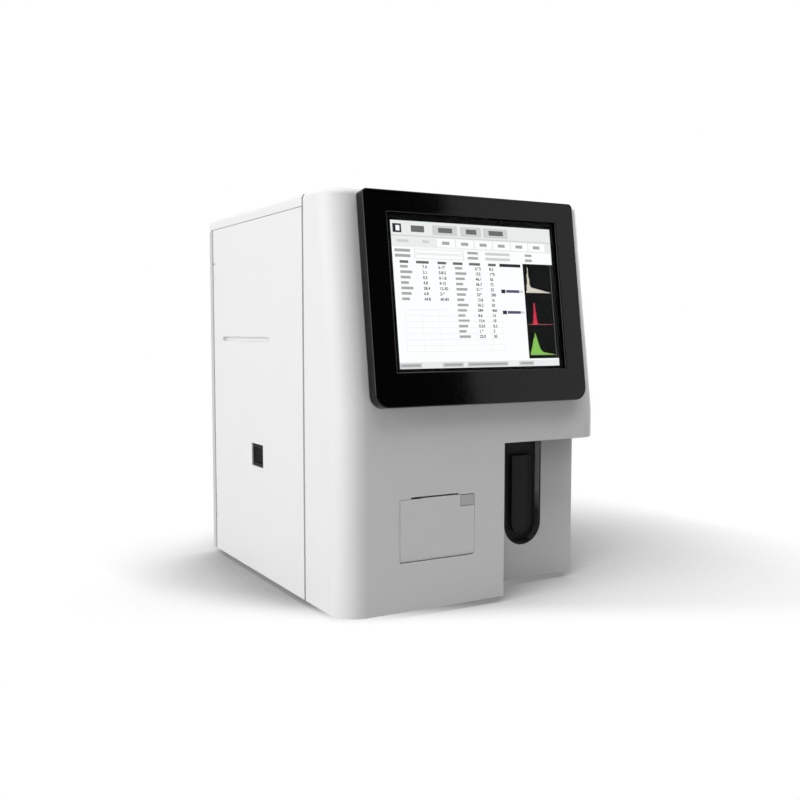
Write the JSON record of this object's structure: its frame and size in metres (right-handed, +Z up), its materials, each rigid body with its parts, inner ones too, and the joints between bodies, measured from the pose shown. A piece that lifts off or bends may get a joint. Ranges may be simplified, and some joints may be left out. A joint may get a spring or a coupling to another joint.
{
  "type": "veterinary hematology analyzer",
  "caption": "Bench-top blood cell analyzer with a tilted touch screen, open sample bay with aspirate key, thermal paper recorder and hinged service door.",
  "frame": {"origin": "centre of the bounding box's base, on the bench top under the feet", "axes": "+X to the right as seen from the front, +Y from the front to the rear, +Z up; the screen faces -Y"},
  "size_m": [0.345, 0.4368, 0.458],
  "materials": {
    "white_shell": "fine satin moulding",
    "black_gloss": "high gloss",
    "cover_glass": "polished",
    "lcd": "lit panel",
    "black_matte": "satin",
    "dark_grey": "satin",
    "grey_plastic": "satin",
    "rear_paint": "fine texture",
    "zinc_sheet": "zinc plated",
    "steel": "ground",
    "aluminium": "milled",
    "brass": "turned",
    "rubber": "matte",
    "paper": "coated",
    "clear": "polished",
    "cream_block": "machined",
    "motor_paint": "powder coat",
    "board_green": "solder mask"
  },
  "bodies": {
    "chassis": {"base_tray": "zinc_sheet", "front_frame": "zinc_sheet", "bulkhead": "zinc_sheet", "rear_panel": "rear_paint", "hinge_post": "zinc_sheet", "top_cover": "white_shell", "right_cover": "white_shell", "door_hinge_pins": "steel", "front_cover": "white_shell", "feet": "rubber", "cover_screws": "steel", "display_bezel": "black_gloss", "touch_glass": "cover_glass", "lcd_panel": "lcd", "key_liner": "black_matte", "key_springs": "steel", "key_switch": "black_matte", "recorder_frame": "dark_grey", "recorder_hinge_pin": "steel", "thermal_head": "aluminium", "feed_motor": "steel", "switch_bracket": "zinc_sheet", "switch_housing": "black_matte", "power_inlet": "black_matte", "power_supply": "zinc_sheet", "sampler_plate": "aluminium", "sampler_rail": "steel", "travel_motor": "motor_paint", "travel_belt": "rubber", "white_cell_bath": "cream_block", "red_cell_bath": "cream_block", "bath_bracket": "aluminium", "syringe_frame": "aluminium", "syringe_barrel": "clear", "syringe_motor": "motor_paint", "valve_bank": "cream_block", "pumps": "motor_paint", "vacuum_chamber": "grey_plastic", "reagent_ports": "grey_plastic", "main_board": "board_green", "port_block": "grey_plastic", "fan_frame": "black_matte"},
    "service_door": {"left_door": "white_shell"},
    "paper_door": {"recorder_door": "white_shell"},
    "platen": {"platen_roller": "rubber"},
    "latch": {"recorder_latch": "grey_plastic"},
    "roll": {"paper_roll": "paper"},
    "rocker": {"switch_rocker": "black_gloss"},
    "key": {"aspirate_key": "dark_grey"},
    "carriage": {"sampler_carriage": "aluminium", "lift_motor": "motor_paint", "wash_block": "cream_block"},
    "lift_spindle": {"lift_screw": "steel"},
    "arm": {"probe_arm": "aluminium", "sample_probe": "steel"},
    "drive_wheel": {"drive_pulley": "brass"},
    "idler_wheel": {"idler_pulley": "brass"},
    "plunger": {"syringe_plunger": "aluminium"},
    "syringe_spindle": {"syringe_screw": "steel"},
    "fan": {"fan_rotor": "black_matte"}
  },
  "joints": [
    {"name": "service_door_hinge", "type": "hinge", "parent": "chassis", "child": "service_door", "pos_m": [-0.1685, 0.18837, 0.22475], "axis": [0, 0, -1], "range_deg": [0, 95]},
    {"name": "paper_door_hinge", "type": "hinge", "parent": "chassis", "child": "paper_door", "pos_m": [-0.056, -0.19913, 0.0655], "axis": [1, 0, 0], "range_deg": [0, 80]},
    {"name": "platen_turn", "type": "hinge", "parent": "paper_door", "child": "platen", "pos_m": [-0.0595, -0.19363, 0.121], "axis": [1, 0, 0], "continuous": true},
    {"name": "latch_push", "type": "slide", "parent": "chassis", "child": "latch", "axis": [0, 1, 0], "range_m": [0, 0.003], "stiffness_N_per_m": 400, "springref_m": -0.002},
    {"name": "roll_turn", "type": "hinge", "parent": "chassis", "child": "roll", "pos_m": [-0.0595, -0.16963, 0.0818], "axis": [1, 0, 0], "continuous": true},
    {"name": "rocker_tip", "type": "hinge", "parent": "chassis", "child": "rocker", "pos_m": [-0.163, 0.03237, 0.154], "axis": [0, 0, -1], "range_deg": [0, 14]},
    {"name": "key_push", "type": "slide", "parent": "chassis", "child": "key", "axis": [0, 1, 0], "range_m": [0, 0.0015], "stiffness_N_per_m": 600, "springref_m": -0.003, "deforming": ["key_springs"]},
    {"name": "carriage_travel", "type": "slide", "parent": "chassis", "child": "carriage", "axis": [0, 1, 0], "range_m": [0, 0.105]},
    {"name": "probe_lift", "type": "slide", "parent": "carriage", "child": "arm", "axis": [0, 0, -1], "range_m": [0, 0.08]},
    {"name": "lift_screw_turn", "type": "hinge", "parent": "carriage", "child": "lift_spindle", "pos_m": [0.052, -0.10243, 0.257], "axis": [0, 0, 1], "range_deg": [0, 1440]},
    {"name": "drive_pulley_turn", "type": "hinge", "parent": "chassis", "child": "drive_wheel", "pos_m": [0.027, 0.03387, 0.3248], "axis": [1, 0, 0], "range_deg": [0, 670]},
    {"name": "idler_pulley_turn", "type": "hinge", "parent": "chassis", "child": "idler_wheel", "pos_m": [0.027, -0.15213, 0.3248], "axis": [1, 0, 0], "range_deg": [0, 670]},
    {"name": "plunger_stroke", "type": "slide", "parent": "chassis", "child": "plunger", "axis": [0, 0, 1], "range_m": [-0.012, 0.036]},
    {"name": "syringe_screw_turn", "type": "hinge", "parent": "chassis", "child": "syringe_spindle", "pos_m": [0.002, 0.12537, 0.187], "axis": [0, 0, 1], "range_deg": [-217, 650]},
    {"name": "fan_turn", "type": "hinge", "parent": "chassis", "child": "fan", "pos_m": [0.095, 0.18837, 0.337], "axis": [0, 1, 0], "continuous": true}
  ],
  "couplings": [
    {"joint": "lift_screw_turn", "follows": "probe_lift", "rad_per_m": 314.16},
    {"joint": "drive_pulley_turn", "follows": "carriage_travel", "rad_per_m": 110.5},
    {"joint": "idler_pulley_turn", "follows": "carriage_travel", "rad_per_m": 110.5},
    {"joint": "syringe_screw_turn", "follows": "plunger_stroke", "rad_per_m": 314.16}
  ]
}
